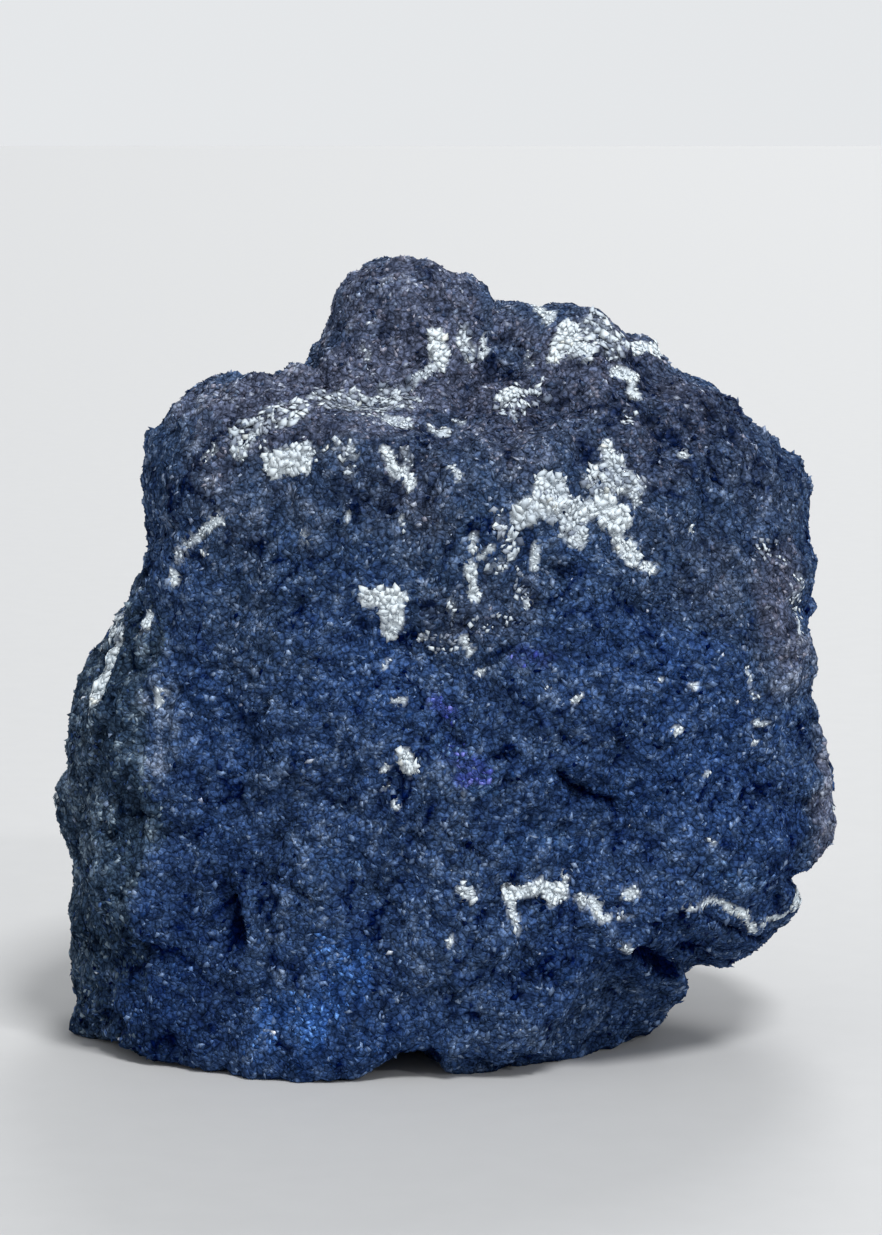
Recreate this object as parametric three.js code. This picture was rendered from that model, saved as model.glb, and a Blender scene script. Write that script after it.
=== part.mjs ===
// A rough, unworked piece of covellite: one block broken on every side, standing on its own flat patches.
//
// Millimetres, +Z up, the widest face towards -Y. The origin is on the surface that the block stands on,
// under the middle of its box.
//
// The block is star-shaped: a ray that leaves its heart in any direction meets the skin once. How far the ray
// goes is worked out in three steps:
//   1. an outline, drawn in a plane that leans back, is carried through the depth as a barrel-shaped wall;
//   2. broken faces, each a plane with a name, cut that wall, and a crown stands behind a ledge at the top;
//   3. ridges, hollows, a crack, bedding steps and crumbly lumps are raised on it or sunk into it.
// A ray that would go below the floor stops on it, which leaves the flat patches that the block stands on.

import * as THREE from 'three';
import { mergeVertices } from 'three/addons/utils/BufferGeometryUtils.js';

// ---- driving dimensions, mm unless a name says otherwise

const HEART = new THREE.Vector3(0, 0, 15.3); // where every ray of the skin starts
const PLACE = new THREE.Vector3(-0.07, -1.43, 0); // the heart's place, in front of the block's middle
const LEAN_DEGREES = 8; // the plane of the outline leans back by this
const BARREL = 0.3; // curve of the side walls towards the front and back: 0 is straight, 1 is a ball
const EDGE_SHARPNESS = 26; // exponent that joins the faces: the higher it is, the crisper the edges

// Away from its own plane the outline wanders: how far, in radians, and the size and seed of the wandering
const WANDER = { turn: 0.7, reach: 18, size: 8, seed: 51 };

// Half-sizes that spread the mesh's points evenly over a block wider than it is deep
const SPREAD = new THREE.Vector3(18, 12, 18);
const MESH_DETAIL = 19; // 20 x (detail + 1)^2 triangles

// Widest outline, across and up from the heart, clockwise from the crown's left corner
const OUTLINE = [
  [-4.1, 19.9], [-2.6, 19.7], [-1.3, 19.6], [0.5, 19.0], [1.8, 19.0], [2.0, 18.3], [3.1, 18.2],
  [4.1, 17.6], [5.3, 17.6], [6.5, 17.0], [7.8, 16.6], [9.5, 16.3], [10.0, 15.4], [12.7, 14.0],
  [14.6, 12.0], [15.5, 10.9], [15.7, 9.2], [16.7, 6.4], [16.2, 2.8], [16.4, 1.0], [17.2, -2.0],
  [18.2, -5.4], [18.0, -6.7], [16.0, -7.8], [15.5, -8.0], [16.0, -9.0], [14.3, -11.1], [11.7, -12.0],
  [10.6, -12.3], [10.8, -13.8], [9.4, -15.2], [7.5, -16.3], [7.8, -19.6], [0.0, -18.7],
  [-15.4, -18.6], [-17.9, -16.2], [-16.8, -14.0], [-17.5, -10.4], [-17.2, -8.8], [-17.0, -7.1],
  [-18.8, -5.3], [-18.8, -4.3], [-17.2, -3.0], [-17.2, -1.5], [-15.9, 1.8], [-15.2, 3.3],
  [-13.7, 5.9], [-13.1, 7.0], [-12.9, 9.4], [-12.5, 12.1], [-11.5, 14.2], [-9.6, 15.0],
  [-8.6, 14.3], [-7.0, 15.4], [-6.1, 15.4], [-5.3, 17.0], [-4.8, 19.1],
];

// Broken faces: the direction each one looks in, and its distance from the heart
const FACES = {
  frontFace: { looks: [0.03, -1, 0.02], distance: 9.8 },
  frontLeft: { looks: [-0.34, -0.94, 0.04], distance: 10.9 },
  frontRight: { looks: [0.36, -0.93, 0.12], distance: 11.9 },
  leftWall: { looks: [-0.9, -0.43, 0.02], distance: 15.8 },
  shoulderCorner: { looks: [-0.6, -0.52, 0.6], distance: 18.0 },
  footLeft: { looks: [-0.52, -0.78, -0.34], distance: 18.8 },
  footFront: { looks: [0.02, -0.93, -0.36], distance: 14.8 },
  footRight: { looks: [0.36, -0.84, -0.4], distance: 15.4 },
  rightFront: { looks: [0.8, -0.6, 0.04], distance: 16.7 },
  rightShoulder: { looks: [0.66, -0.48, 0.58], distance: 18.2 },
  undercut: { looks: [0.46, -0.6, -0.65], distance: 15.9 },
  backFace: { looks: [0.1, 1, -0.05], distance: 12.4 },
  backLeft: { looks: [-0.72, 0.68, 0.12], distance: 15.2 },
  backRight: { looks: [0.76, 0.64, 0.1], distance: 16.0 },
  backTop: { looks: [0.05, 0.72, 0.69], distance: 17.0 },
  backTopLeft: { looks: [-0.55, 0.5, 0.67], distance: 17.0 },
  backTopRight: { looks: [0.6, 0.45, 0.66], distance: 18.4 },
  backFoot: { looks: [-0.1, 0.84, -0.54], distance: 15.4 },
  backFootRight: { looks: [0.55, 0.55, -0.62], distance: 16.4 },
  underside: { looks: [0, 0, -1], distance: 15.7 },
};

// The top is two steps: a ledge over the front, and the crown that rises behind it
const LEDGE = {
  ledge: { looks: [-0.04, -0.45, 0.89], distance: 15.8 },
  ledgeRight: { looks: [0.22, -0.62, 0.75], distance: 16.2 },
};
const CROWN = {
  crownFront: { looks: [-0.05, -0.87, 0.49], distance: 11.9 },
  crownLeft: { looks: [-0.96, -0.12, 0.24], distance: 9.7 },
  crownRight: { looks: [0.5, -0.66, 0.56], distance: 16.4 },
};

// Ridges and hollows of the front: the middle, across and up from the heart, the half-sizes, the turn in
// degrees, and how far each one is raised, or sunk where that is negative
const RELIEF = {
  ridge: { middle: [-6.2, 4.6], half: [2.8, 11.8], turn: -9, raised: 0.65 },
  centreHollow: { middle: [-1.3, 7.1], half: [2.4, 4.1], turn: 0, raised: -0.75 },
  leftHollow: { middle: [-9.3, -1.8], half: [2.4, 5.0], turn: -6, raised: -0.6 },
  belly: { middle: [5.4, 0], half: [8.7, 5.9], turn: 15, raised: 0.6 },
  lowSwell: { middle: [0.4, -10.5], half: [5.9, 3.2], turn: 0, raised: 0.5 },
  lowDip: { middle: [7.2, -13], half: [3.6, 2.7], turn: 0, raised: -0.6 },
  crack: { middle: [-9.6, -9.7], half: [0.8, 2.4], turn: -4, raised: -1.2 },
  pit: { middle: [6.2, -3.6], half: [1.1, 0.8], turn: 20, raised: -0.8 },
  lowPit: { middle: [11.4, -11.4], half: [1.4, 0.9], turn: 20, raised: -1.2 },
  footPit: { middle: [-15.1, -14.6], half: [1, 0.8], turn: 0, raised: -0.8 },
  arch: { middle: [-1.8, -17.2], half: [2.8, 1.6], turn: 0, raised: -2.6 },
  rightFoot: { middle: [5.4, -17], half: [2.6, 2.4], turn: 0, raised: 1.6 },
  crownDip: { middle: [2.7, 16.9], half: [2.7, 3.2], turn: 0, raised: -0.7 },
  crownLump: { middle: [-1.9, 18.2], half: [2.7, 2.3], turn: 0, raised: 0.6 },
};

// Bedding: steps that run parallel to the front face and show on the walls
const BED_SPACING = 2.6;
const BED_DEPTH = 0.32;
const BED_TILT = 0.12; // rise of the beds across the block
const BED_WARP = 1.6; // how far the beds wander, in beds
const BED_WARP_SIZE = 6;
const BED_RISE = 0.8; // share of each bed that slopes up, before it drops to the next
const BED_SHARE_ON_RIGHT = 0.45;
const BED_START = 0.8; // share of a direction that lies in the outline's plane where the beds begin
const BED_FADE = 0.15;
const BED_SEED = 41;

// Rough surface: smooth swells and angular lumps, each with its size, how far it is raised, and its seed
const SWELLS = [
  { size: 9, raised: 1.3, seed: 11 },
  { size: 4.2, raised: 0.8, seed: 13 },
];
const LUMPS = [
  { size: 6.5, raised: 1.5, seed: 24 },
  { size: 3, raised: 0.7, seed: 31 },
];
const LUMP_TURN = new THREE.Euler(0.5, 0, 0.7); // turns the lattice of the lumps away from the block's axes
const LUMP_MIDDLE = 0.42; // a lump's height at its middle, in lattice cells

const STONE_COLOUR = 0x232f52;
const STONE_ROUGHNESS = 0.62;
const STONE_METALNESS = 0.15;

// ---- scattered numbers and rough layers

/** Whole-number lattice point and seed to a number from 0 to 1. */
function scatter(x, y, z, seed) {
  let h = Math.imul(x, 374761393) + Math.imul(y, 668265263);
  h += Math.imul(z, 2147483647) + Math.imul(seed, 1274126177);
  h = Math.imul(h ^ (h >>> 15), 2246822519);
  h = Math.imul(h ^ (h >>> 13), 3266489917);
  return ((h ^ (h >>> 16)) >>> 0) / 4294967296;
}

const smoothStep = (t) => t * t * (3 - 2 * t);
const clamp01 = (t) => Math.min(Math.max(t, 0), 1);

/** Smooth swells about size apart, from about -1 to 1: a blend of the slopes set at a lattice's corners. */
function swell(point, size, seed) {
  const q = [point.x / size, point.y / size, point.z / size];
  const cell = q.map(Math.floor);
  const inside = q.map((value, axis) => value - cell[axis]);
  const blend = inside.map(smoothStep);
  let sum = 0;
  for (let corner = 0; corner < 8; corner++) {
    const step = [corner & 1, (corner >> 1) & 1, corner >> 2];
    let weight = 1;
    let height = 0;
    for (let axis = 0; axis < 3; axis++) {
      const slope = scatter(cell[0] + step[0], cell[1] + step[1], cell[2] + step[2], seed + axis) * 2 - 1;
      weight *= step[axis] ? blend[axis] : 1 - blend[axis];
      height += slope * (inside[axis] - step[axis]);
    }
    sum += weight * height;
  }
  return sum;
}

/**
 * Angular lumps about size across with creases between them. Middles are scattered one to a cell of a turned
 * lattice, and the height falls by the longest of the three ways, along the lattice, to the nearest middle.
 */
function lump(point, size, seed) {
  const turned = point.clone().applyEuler(LUMP_TURN);
  const q = [turned.x / size, turned.y / size, turned.z / size];
  const cell = q.map(Math.floor);
  let nearest = Infinity;
  for (let neighbour = 0; neighbour < 27; neighbour++) {
    const at = [
      cell[0] + (neighbour % 3) - 1,
      cell[1] + (Math.floor(neighbour / 3) % 3) - 1,
      cell[2] + Math.floor(neighbour / 9) - 1,
    ];
    const ways = at.map((place, axis) => Math.abs(place + scatter(...at, seed + axis) - q[axis]));
    nearest = Math.min(nearest, Math.max(...ways));
  }
  return LUMP_MIDDLE - nearest;
}

// ---- the block's form

const LEAN = THREE.MathUtils.degToRad(LEAN_DEGREES);
const OUTLINE_BY_ANGLE = OUTLINE.map(([across, up]) => ({ across, up, angle: Math.atan2(up, across) }))
  .sort((a, b) => a.angle - b.angle);

/** A direction's share across, up and out of the leaning plane of the outline. */
function inOutlinePlane(direction) {
  const out = -direction.y * Math.cos(LEAN) + direction.z * Math.sin(LEAN);
  const up = direction.y * Math.sin(LEAN) + direction.z * Math.cos(LEAN);
  return { across: direction.x, up, out };
}

/** Distance from the heart to the outline's straight side at one angle. */
function outlineRadius(angle) {
  const count = OUTLINE_BY_ANGLE.length;
  const found = OUTLINE_BY_ANGLE.findIndex((corner) => corner.angle >= angle);
  const next = found < 0 ? 0 : found;
  const b = OUTLINE_BY_ANGLE[next];
  const a = OUTLINE_BY_ANGLE[(next + count - 1) % count];
  const side = [b.across - a.across, b.up - a.up];
  const ray = [Math.cos(angle), Math.sin(angle)];
  return (a.across * side[1] - a.up * side[0]) / (ray[0] * side[1] - ray[1] * side[0]);
}

/** One over the distance at which a ray meets a set of faces, their edges rounded by the exponent. */
function press(direction, faces) {
  let sum = 0;
  for (const { looks, distance } of Object.values(faces)) {
    const normal = new THREE.Vector3(...looks).normalize();
    sum += (Math.max(direction.dot(normal), 0) / distance) ** EDGE_SHARPNESS;
  }
  return sum ** (1 / EDGE_SHARPNESS);
}

/** Distance from the heart to the smooth form: the outline's barrel, the faces, the higher of two tops. */
function formReach(direction) {
  const { across, up, out } = inOutlinePlane(direction);
  const place = direction.clone().multiplyScalar(WANDER.reach);
  const wander = WANDER.turn * out * swell(place, WANDER.size, WANDER.seed);
  const turned = Math.atan2(up, across) + wander + Math.PI;
  const radius = outlineRadius(THREE.MathUtils.euclideanModulo(turned, 2 * Math.PI) - Math.PI);
  const wall = Math.sqrt(across ** 2 + up ** 2 + BARREL * out ** 2) / radius;
  const top = Math.min(press(direction, LEDGE), press(direction, CROWN));
  const parts = [wall, top, press(direction, FACES)];
  return parts.reduce((sum, part) => sum + part ** EDGE_SHARPNESS, 0) ** (-1 / EDGE_SHARPNESS);
}

/** Height of the ridges and hollows: each fades out smoothly at the rim of its ellipse. */
function relief(across, up) {
  let sum = 0;
  for (const { middle, half, turn, raised } of Object.values(RELIEF)) {
    const angle = THREE.MathUtils.degToRad(turn);
    const x = across - middle[0];
    const y = up - middle[1];
    const along = (x * Math.cos(angle) + y * Math.sin(angle)) / half[0];
    const beside = (-x * Math.sin(angle) + y * Math.cos(angle)) / half[1];
    sum += raised * Math.max(1 - along ** 2 - beside ** 2, 0) ** 2;
  }
  return sum;
}

/** Height of the bedding steps, a slope and a drop repeated through the depth, on the walls alone. */
function bedding(point, direction) {
  const { across, up } = inOutlinePlane(direction);
  const warp = BED_WARP * swell(point, BED_WARP_SIZE, BED_SEED);
  const bed = (point.y + BED_TILT * point.x) / BED_SPACING + warp;
  const phase = bed - Math.floor(bed);
  const height = phase < BED_RISE ? phase / BED_RISE : (1 - phase) / (1 - BED_RISE);
  const onWall = smoothStep(clamp01((Math.hypot(across, up) - BED_START) / BED_FADE));
  const share = across < 0 ? 1 : BED_SHARE_ON_RIGHT;
  return (height - 0.5) * BED_DEPTH * onWall * share;
}

/** The skin's point along one direction from the heart. */
function skinPoint(direction) {
  const reach = formReach(direction);
  const point = direction.clone().multiplyScalar(reach).add(HEART);
  const { across, up, out } = inOutlinePlane(direction);
  let distance = reach + bedding(point, direction);
  if (out > 0) distance += relief(across * reach, up * reach);
  for (const { size, raised, seed } of SWELLS) distance += raised * swell(point, size, seed);
  for (const { size, raised, seed } of LUMPS) distance += raised * lump(point, size, seed);
  if (direction.z < 0) distance = Math.min(distance, HEART.z / -direction.z);
  return direction.clone().multiplyScalar(distance).add(HEART);
}

function stoneGeometry() {
  const ball = new THREE.IcosahedronGeometry(1, MESH_DETAIL);
  ball.deleteAttribute('normal');
  ball.deleteAttribute('uv');
  const geometry = mergeVertices(ball);
  const position = geometry.getAttribute('position');
  const direction = new THREE.Vector3();
  for (let i = 0; i < position.count; i++) {
    direction.fromBufferAttribute(position, i).multiply(SPREAD).normalize();
    const point = skinPoint(direction);
    position.setXYZ(i, point.x, point.y, Math.max(point.z, 0));
  }
  geometry.computeVertexNormals();
  return geometry;
}

// ---- the model

const stone = new THREE.Mesh(
  stoneGeometry(),
  new THREE.MeshStandardMaterial({
    color: STONE_COLOUR,
    roughness: STONE_ROUGHNESS,
    metalness: STONE_METALNESS,
    flatShading: true,
  }),
);
stone.name = 'covellite_stone';
stone.position.copy(PLACE);

const group = new THREE.Group();
group.add(stone);

export default group;
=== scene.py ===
"""Looks of a rough covellite stone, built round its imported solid.

Two kinds of piece make the stone. covellite_skin is the solid's own form worked out again on a finer grid,
with small lumps and pits added. On it lie joined meshes of tiny crystals: blue ones in four pieces, front,
right, back and left, and pale ones that gather into crusts and veins.

Lengths are millimetres until a mesh is made, and the frame's metres from there on. A layer of noise is a row
of its size, its height and its seed.
"""

import math

import bpy
import numpy as np
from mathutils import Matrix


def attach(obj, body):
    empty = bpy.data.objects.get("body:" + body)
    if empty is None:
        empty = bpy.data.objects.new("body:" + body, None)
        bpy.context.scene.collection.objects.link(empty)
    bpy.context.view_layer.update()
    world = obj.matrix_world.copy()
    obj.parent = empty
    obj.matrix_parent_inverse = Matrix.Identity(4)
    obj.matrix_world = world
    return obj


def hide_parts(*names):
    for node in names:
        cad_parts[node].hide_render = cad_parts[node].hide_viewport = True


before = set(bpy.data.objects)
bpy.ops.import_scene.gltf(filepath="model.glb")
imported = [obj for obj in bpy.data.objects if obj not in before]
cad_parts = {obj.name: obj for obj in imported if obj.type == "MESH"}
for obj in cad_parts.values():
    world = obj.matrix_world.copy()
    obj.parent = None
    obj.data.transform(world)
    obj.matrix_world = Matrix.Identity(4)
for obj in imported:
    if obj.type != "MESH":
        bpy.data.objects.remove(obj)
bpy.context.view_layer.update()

MM = 0.001
SEED = 20
TINY = 1e-9
X, Y, Z = 0, 1, 2

# ---- the solid's form: the numbers that its source names

HEART = np.array([0.0, 0.0, 15.3])
PLACE = np.array([-0.07, -1.43, 0.0])
LEAN = math.radians(8)
BARREL = 0.3
EDGE_SHARPNESS = 26
WANDER_TURN, WANDER_REACH, WANDER_SIZE, WANDER_SEED = 0.7, 18, 8, 51
SPREAD = np.array([18.0, 12.0, 18.0])

OUTLINE = np.array([
    (-4.1, 19.9), (-2.6, 19.7), (-1.3, 19.6), (0.5, 19.0), (1.8, 19.0), (2.0, 18.3), (3.1, 18.2),
    (4.1, 17.6), (5.3, 17.6), (6.5, 17.0), (7.8, 16.6), (9.5, 16.3), (10.0, 15.4), (12.7, 14.0),
    (14.6, 12.0), (15.5, 10.9), (15.7, 9.2), (16.7, 6.4), (16.2, 2.8), (16.4, 1.0), (17.2, -2.0),
    (18.2, -5.4), (18.0, -6.7), (16.0, -7.8), (15.5, -8.0), (16.0, -9.0), (14.3, -11.1), (11.7, -12.0),
    (10.6, -12.3), (10.8, -13.8), (9.4, -15.2), (7.5, -16.3), (7.8, -19.6), (0.0, -18.7), (-15.4, -18.6),
    (-17.9, -16.2), (-16.8, -14.0), (-17.5, -10.4), (-17.2, -8.8), (-17.0, -7.1), (-18.8, -5.3),
    (-18.8, -4.3), (-17.2, -3.0), (-17.2, -1.5), (-15.9, 1.8), (-15.2, 3.3), (-13.7, 5.9), (-13.1, 7.0),
    (-12.9, 9.4), (-12.5, 12.1), (-11.5, 14.2), (-9.6, 15.0), (-8.6, 14.3), (-7.0, 15.4), (-6.1, 15.4),
    (-5.3, 17.0), (-4.8, 19.1),
])

# Broken faces: the direction each one looks in, and its distance from the heart
FACES = {
    "front": ((0.03, -1, 0.02), 9.8),
    "front left": ((-0.34, -0.94, 0.04), 10.9),
    "front right": ((0.36, -0.93, 0.12), 11.9),
    "left wall": ((-0.9, -0.43, 0.02), 15.8),
    "shoulder corner": ((-0.6, -0.52, 0.6), 18.0),
    "foot left": ((-0.52, -0.78, -0.34), 18.8),
    "foot front": ((0.02, -0.93, -0.36), 14.8),
    "foot right": ((0.36, -0.84, -0.4), 15.4),
    "right front": ((0.8, -0.6, 0.04), 16.7),
    "right shoulder": ((0.66, -0.48, 0.58), 18.2),
    "undercut": ((0.46, -0.6, -0.65), 15.9),
    "back": ((0.1, 1, -0.05), 12.4),
    "back left": ((-0.72, 0.68, 0.12), 15.2),
    "back right": ((0.76, 0.64, 0.1), 16.0),
    "back top": ((0.05, 0.72, 0.69), 17.0),
    "back top left": ((-0.55, 0.5, 0.67), 17.0),
    "back top right": ((0.6, 0.45, 0.66), 18.4),
    "back foot": ((-0.1, 0.84, -0.54), 15.4),
    "back foot right": ((0.55, 0.55, -0.62), 16.4),
    "underside": ((0, 0, -1), 15.7),
}
LEDGE = {"ledge": ((-0.04, -0.45, 0.89), 15.8), "ledge right": ((0.22, -0.62, 0.75), 16.2)}
CROWN = {
    "crown front": ((-0.05, -0.87, 0.49), 11.9),
    "crown left": ((-0.96, -0.12, 0.24), 9.7),
    "crown right": ((0.5, -0.66, 0.56), 16.4),
}

# Ridges and hollows of the front: middle across, up, half-sizes, turn in degrees, height
RELIEF = {
    "ridge": (-6.2, 4.6, 2.8, 11.8, -9, 0.65),
    "centre hollow": (-1.3, 7.1, 2.4, 4.1, 0, -0.75),
    "left hollow": (-9.3, -1.8, 2.4, 5.0, -6, -0.6),
    "belly": (5.4, 0, 8.7, 5.9, 15, 0.6),
    "low swell": (0.4, -10.5, 5.9, 3.2, 0, 0.5),
    "low dip": (7.2, -13, 3.6, 2.7, 0, -0.6),
    "crack": (-9.6, -9.7, 0.8, 2.4, -4, -1.2),
    "pit": (6.2, -3.6, 1.1, 0.8, 20, -0.8),
    "low pit": (11.4, -11.4, 1.4, 0.9, 20, -1.2),
    "foot pit": (-15.1, -14.6, 1, 0.8, 0, -0.8),
    "arch": (-1.8, -17.2, 2.8, 1.6, 0, -2.6),
    "right foot": (5.4, -17, 2.6, 2.4, 0, 1.6),
    "crown dip": (2.7, 16.9, 2.7, 3.2, 0, -0.7),
    "crown lump": (-1.9, 18.2, 2.7, 2.3, 0, 0.6),
}

BEDS = (2.6, 0.32, 1.6, 41)  # spacing, depth, warp, seed
BED_TILT, BED_WARP_SIZE = 0.12, 6
BED_RISE, BED_SHARE_ON_RIGHT, BED_START, BED_FADE = 0.8, 0.45, 0.8, 0.15
LUMP_TURN = (0.5, 0.7)  # about x after z, radians
LUMP_MIDDLE = 0.42
SWELLS = [(9, 1.3, 11), (4.2, 0.8, 13)]
LUMPS = [(6.5, 1.5, 24), (3, 0.7, 31)]

# ---- what is finer than the solid shows

FINE_SWELLS = [(1.3, 0.26, 17)]
FINE_LUMPS = [(1.5, 0.55, 36), (0.7, 0.28, 43)]
SKIN_SUNK = 0.07  # the skin lies this far inside the solid, and the crystals' tips reach it

FINE_BEDS, FINE_BED_PATCHES = (1.4, 0.34, 1.8, 47), [(3.5, 1.2, 53)]
GRAINS = [(0.36, 1.3, 111), (0.85, 0.5, 113)]
GRAIN_RAISED = 0.1
CREVICE_LINES, CREVICE_WIDTH, CREVICE_DEPTH = (1.5, 131), 0.08, 0.22
CREVICE_PLACES = (2.3, 133, 0, 0.15)  # size, seed, and where a patch begins and how fast

SKIN_CELLS = 128  # along each side of the cube that the skin's grid starts from
MAP_MARGIN = 0.006
SEAM = 1e6  # points of a ball of radius 1 that agree to one part in this are one

# ---- crystals: eight-sided, with six points

POINTS_EACH, FACES_EACH = 6, 8
CRYSTAL_COUNT = 104000
CRYSTAL_HALF = 0.168  # half-length, before each one's own share
LONGEST = 1.4  # the longest one's share
CRYSTAL_SHAPE = (1.0, 0.66, 0.32)  # shares of the half-length: along, beside and out
CRYSTAL_TILT = 0.32
PALE_HALF, PALE_TILT = 0.2, 0.1
PALE_SHAPE = (1.0, 0.72, 0.1)
PALE_FULL, PALE_SIZES = 0.25, (0.55, 1.1)  # a stroke this thick has full chips, and their sizes' range
LENGTH_SPREAD, HALF_SPREAD = 0.33, (0.75, 1.25)
END_SPREAD, SKEW = (0.7, 1.2), 0.35  # an end's share of its half-length, and how far it lies off its axis
CRYSTAL_RISE, PALE_RISE, RISE_SPREAD = -0.03, 0.035, 0.02
CLEAR_OF_FLOOR = 0.25
CRACK_BARE, CRACK_KEPT = 2.2, 0.3  # a crack loses its crystals by its depth times one, less the other
GAP_KEPT, GAP_OF_GRAIN = 0.75, 1.2  # crystals kept on an even grain, and what a raised one adds

# ---- how grey and how light the ground is

GREY_MIDDLE, GREY_LAYERS = 1.2, [(4.5, 0.6, 101), (1.3, 0.6, 103)]
GREY_OF_DUST, GREY_OF_HEIGHT, GREY_OF_GRAIN = 2.8, 0.9, 0.5
GREY_LOW, GREY_CLIMB = 17, 16  # it greys upwards from this height, over this much more
LIGHT_MIDDLE, LIGHT_LAYERS = 0.45, [(2.4, 0.1, 117)]
# The second is painted shade: lighter where the fine height rises, darker where it sinks
LIGHT_OF_GRAIN, PAINTED_SHADE_OF_HEIGHT, LIGHT_OF_LEFT = 0.38, 0.45, 0.09
# Painted shade: darker in the cracks and pits, and in the crevices
PAINTED_SHADE_IN_CRACKS, PAINTED_SHADE_IN_CREVICES = 0.9, 0.45
LIGHT_SPREAD, LIGHT_TAIL, TAIL_START = 0.17, 0.1, 1.2
SKIN_LIGHT = 0.95
# The chips' layer is painted shade, darker in the creases between them
PALE_LIGHT, PALE_MOTTLE, PALE_CHIP_SHADE = 0.68, [(0.5, 0.6, 121)], [(0.55, 0.7, 127)]
PALE_SOLID, SOLID_START, SOLID_EVEN = 1.5, 0.8, 2.5
# FLASH_LIGHT is painted sheen: how much lighter the blue flashes are
PALE_SPREAD, FLASH_LIGHT = 0.06, 0.25
PALE_OVER, PALE_BARE, PALE_BELOW = 1.3, 0.2, 0.05  # the skin's pale share, times, less, and its tone, less

# ---- materials

MASS_GRAIN, MASS_GAP, MASS_NOISE = 0.3, 0.2, (0.16, 3.0, 0.6)  # a noise's size, detail and roughness
# The second is painted shade: the mass darker in the gaps between its fine grains
MASS_OWN, MASS_GAP_SHADE, MASS_FINE = (0.6, 1.4), (0.55, 1.1), (0.45, 1.55)  # tones, darkest and lightest
NOISE_LOW, NOISE_HIGH, PALE_EVEN = 0.3, 0.7, 0.9  # where the noise rises, and how far a pale tint hides all
HEIGHT_OF_GAP, HEIGHT_OF_NOISE, HEIGHT_OF_GRAIN, BUMP, BUMP_DEPTH = 0.6, 0.5, 0.5, 0.7, 0.09
MASS_ROUGH, MASS_SHEEN = (0.85, 0.6), (0.1, 0.0)
BLUE_SHEEN, PALE_SHEEN = (0.45, 0.3, 0.0), (0.75, 0.0, 0.3)  # roughness, metal and specular

# ---- kinds of crystal

# The dark, the middle and the light colour of each kind, on a screen's scale of 0 to 255
KINDS = {
    "deep blue": ((1, 13, 58), (42, 71, 120), (108, 140, 194)),
    "navy": ((2, 16, 58), (53, 77, 119), (126, 151, 190)),
    "blue slate": ((5, 20, 55), (61, 82, 115), (138, 157, 187)),
    "slate": ((16, 28, 57), (72, 87, 114), (149, 163, 188)),
    "dust": ((38, 46, 66), (92, 100, 124), (178, 187, 204)),
    "brown dust": ((40, 45, 62), (94, 97, 116), (170, 171, 188)),
    "green grey": ((6, 19, 36), (55, 73, 93), (136, 154, 170)),
    "cobalt": ((8, 38, 98), (56, 94, 156), (112, 162, 232)),
    "violet": ((24, 34, 98), (68, 84, 168), (144, 152, 240)),
    "soft blue": ((12, 34, 80), (62, 92, 136), (142, 174, 216)),
    "pale": ((90, 104, 128), (196, 208, 219), (226, 236, 242)),
    "haze": ((56, 68, 92), (110, 122, 142), (172, 182, 196)),
    "cream": ((110, 118, 126), (190, 198, 200), (228, 232, 228)),
    # The glint kind is painted glints: near-white crystals that stand in for highlights
    "glint": ((150, 160, 185), (200, 210, 225), (236, 240, 248)),
}
LADDER = ("deep blue", "navy", "blue slate", "slate", "dust")
# The flash kinds are a painted sheen: grains that catch the light, painted as cobalt, violet and soft blue
FLASH_KINDS = ("cobalt", "violet", "soft blue")
COBALT = 0
TONES = 16
TILE_SHARE = 0.3  # of a colour's tile on the map, each way from its middle
RUNG_SPREAD = 0.6  # of a step of the ladder, either way
BROWN_SHARE, GREEN_SHARE, CREAM_SHARE, HAZE_SPARE = 0.4, 0.85, 0.02, 0.1
# The share of blue crystals that are painted glints
PAINTED_GLINTS = 0.002

# ---- how the markings end

PALE_RIM, DUST_RIM, FLASH_RIM, SHADE_RIM = 0.1, 1.2, 0.5, 0.3
PALE_GROWN, PALE_SPARE, THICKNESS = 0.01, 0.1, 0.2  # radius and share added, and the radius off strokes
WARP, WARP_SIZE, WARP_SEED = 0.14, 0.6, 61  # how far a point wanders before the strokes are laid
RAGGED, DRIFT = [(0.36, 1.1, 71)], [(1.7, 0.8, 77)]  # how fine and broad rims wander
RAGGED_MOST, RAGGED_FLASH = 1.3, 0.7  # how much a pale rim, less its strength, and a flash's take of the fine
CRACK_EASE = 0.65
SEEN_DEPTH = 0.6  # what a millimetre along Y counts for, in a stroke's reach
RAY_SHARE = 0.3  # what a millimetre along a point's ray counts for

# Dust and cobalt flashes that no stroke gives, the flashes a painted sheen: their patches as above, and their
# shares
DUST_PATCHES, DUST_SHARE, DUST_BEHIND = (5.5, 81, -0.15, 0.5), 0.5, 0.8
DUST_SLOPE, DUST_EASE = 0.35, 0.5
COBALT_PATCHES, COBALT_SHARE = (4.5, 91, 0.36, 0.12), 0.7

# Where the left wall's greyer tint begins: its share of the face beside it, and how it fades up and across
LEFT_EDGE, LEFT_RIM = 0.92, 0.04
LEFT_WANDER, LEFT_DRIFT = [(2.5, 0.08, 95)], [(4, 0.3, 97)]
LEFT_UP, LEFT_UP_FADE, LEFT_ACROSS, LEFT_ACROSS_FADE = 0.5, 0.3, -0.45, 0.4

# How far towards the front a direction leans: where the camera's side ends, where the front's own markings
# fade out, and where those laid by chance begin
SEEN_FROM, FRONT_FROM, FRONT_FADE, BEHIND = -0.35, -0.3, 0.25, -0.05

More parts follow.
